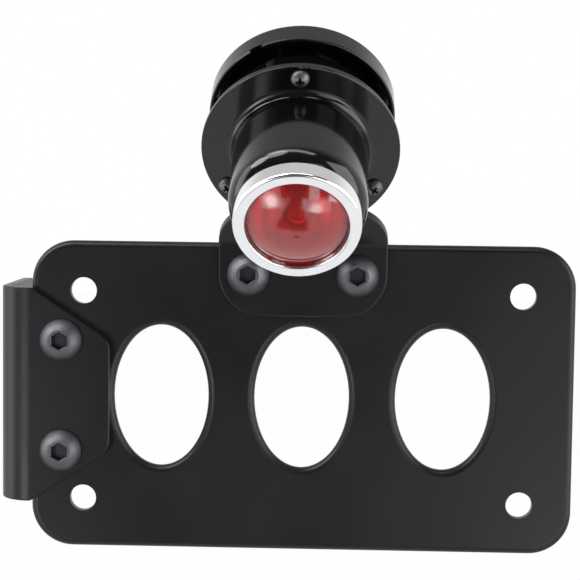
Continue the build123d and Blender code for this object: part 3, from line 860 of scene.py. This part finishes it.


# The bolts' sockets and the screws' recesses get painted shade from the last argument.
bolt_black = metal("bolt_black", (0.135, 0.137, 0.142), (0.110, 0.112, 0.117), rough=0.42,
                   mark_size=0.25, mark_depth=0.02, recess_shade=0.6)
bezel_chrome = metal("bezel_chrome", (0.86, 0.87, 0.88), (0.82, 0.83, 0.85), rough=0.05,
                     mark_size=1.5, mark_depth=0.002, spread=0.03)
screw_steel = metal("screw_steel", (0.18, 0.175, 0.17), (0.11, 0.107, 0.104), rough=0.36,
                    mark_size=0.3, mark_depth=0.01, recess_shade=0.8)
zinc_steel = metal("zinc_steel", (0.62, 0.63, 0.65), (0.55, 0.57, 0.60), rough=0.30,
                   mark_size=0.3, mark_depth=0.01)
bright_sheet = metal("bright_sheet", (0.86, 0.86, 0.87), (0.80, 0.80, 0.82), rough=0.16,
                     mark_size=1.0, mark_depth=0.004, spread=0.05)
holder_brass = metal("holder_brass", (0.78, 0.62, 0.32), (0.60, 0.45, 0.22), rough=0.22,
                     mark_size=0.4, mark_depth=0.01)

# %% [markdown]
# ### Pressed red glass
#
# The lens is clear red glass: light passes it twice on its way to the reflector
# and back, which is what makes it so red. Its tone is darker towards its sides:
# painted shade. A coat over it blurs the reflections of the lamps.

# %% Red glass
# Painted shade: the glass darkens from pale_within to dark_beyond off the lamp's middle.
pale_within = 3 * mm
dark_beyond = 9 * mm


def pressed_glass(name, tone, shade, rough, clear, coat):
    """Coloured glass, of one tone in its middle and a darker, painted shade at its sides."""
    finish = new_finish(name)
    place = place_on(finish)
    across = finish.node("ShaderNodeSeparateXYZ", None, {0: place}, output="X")
    side = across.unsigned().between(pale_within, dark_beyond)
    swirl = noise(finish, place, size=8).between(0.3, 0.7)
    ripple = noise(finish, place, size=4, detail=1)
    # Base colour: painted shade towards the sides, mixed with a random swirl.
    return coat_with(finish, {"Transmission Weight": clear, "IOR": 1.5, "Coat Weight": coat,
                              "Coat Roughness": 0.13, "Coat IOR": 1.62},
                     {"Base Color": blend(finish, side * 0.7 + swirl * 0.3, tone, shade),
                      "Roughness": rough + swirl * 0.02,
                      "Normal": relief(finish, ripple, depth=0.02, strength=0.2)})


red_glass = pressed_glass("red_glass", (0.99, 0.026, 0.022), (0.56, 0.015, 0.013), rough=0.02,
                          clear=0.92, coat=0.75)

# %% [markdown]
# ### Thin glass, rubber and fibre
#
# The bulb's glass is too thin to bend light, so it is a clear shader under a shine
# that grows towards its edges. Rubber is dull and dark, and the holder's insulator
# is pressed fibre board.


# %% Thin glass, rubber and fibre
def thin_glass(name):
    """Glass too thin to bend light: clear, with a shine that grows towards its edges."""
    finish = new_finish(name)
    smudge = noise(finish, place_on(finish), size=3).between(0.45, 0.8)
    edge = finish.node("ShaderNodeFresnel", None, {"IOR": 1.5})
    clear = finish.node("ShaderNodeBsdfTransparent", None, {"Color": (0.97, 0.97, 0.97, 1.0)})
    shine = finish.node("ShaderNodeBsdfAnisotropic", None,
                        {"Color": (1.0, 1.0, 1.0, 1.0), "Roughness": 0.02})
    veil = edge * 0.9 + smudge * 0.03
    mixed = finish.node("ShaderNodeMixShader", None, {0: veil, 1: clear, 2: shine})
    finish.out("ShaderNodeOutputMaterial", mixed)
    return finish.owner


def dull(name, tone, shade, rough, lump, depth):
    """A dull surface. Its lumps are lump millimetres wide and depth millimetres high."""
    finish = new_finish(name)
    place = place_on(finish)
    grain = noise(finish, place, size=lump, detail=3, roughness=0.6)
    return coat_with(finish, {"Specular IOR Level": 0.3},
                     {"Base Color": blend(finish, grain.between(0.35, 0.7), tone, shade),
                      "Roughness": rough + grain * 0.15,
                      "Normal": relief(finish, grain, depth=depth, strength=0.6)})


bulb_glass = thin_glass("bulb_glass")
black_rubber = dull("black_rubber", (0.018, 0.018, 0.018), (0.032, 0.032, 0.032), rough=0.62,
                    lump=0.3, depth=0.03)
fibre_board = dull("fibre_board", (0.33, 0.19, 0.11), (0.42, 0.26, 0.16), rough=0.65,
                   lump=0.25, depth=0.04)

# %% [markdown]
# ## The finish of each CAD node
#
# Most of the holder is shown as the CAD pack made it: the plate, both brackets and
# the lamp's body keep their shape. The record gives each node a material slot, and
# the finish of that slot takes the place of its plain colour.

# %% Finish of each CAD node
slots = {row["node"]: row["material_slot"] for row in frame["record"]["subparts"]}
finishes = {
    "plate_coat": plate_coat, "bracket_coat": bracket_coat, "bolt_black": bolt_black,
    "lamp_black": lamp_black, "bezel_chrome": bezel_chrome, "red_glass": red_glass,
    "screw_steel": screw_steel, "zinc_steel": zinc_steel, "black_rubber": black_rubber,
    "bright_sheet": bright_sheet, "holder_brass": holder_brass, "bulb_glass": bulb_glass,
    "fibre_board": fibre_board,
}


def paint(piece, finish):
    """Puts one finish on a whole piece."""
    if piece.material_slots:
        for material_slot in piece.material_slots:
            material_slot.material = finish
    else:
        piece.data.materials.append(finish)


for name, piece in nodes.items():
    paint(piece, finishes[slots[name]])
print("finishes:", len(finishes))

# %% [markdown]
# ## Handing over the new pieces
#
# Nothing on the holder moves, so every new piece rides on its one body, the root.
# Each piece also names the slot that its finish comes from.

# %% Ride, slots and the last line
added = [(side_bracket_bolts, "bolt_black"), (lamp_bracket_bolts, "bolt_black"),
         (cover_screws, "screw_steel"), (mounting_screws, "screw_steel"), (envelope, "bulb_glass"),
         (stem, "bulb_glass"), (posts, "zinc_steel"), (coil, "screw_steel")]
for piece, slot in added:
    paint(piece, finishes[slot])
    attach(piece, "root")
print("pieces added:", len(added))
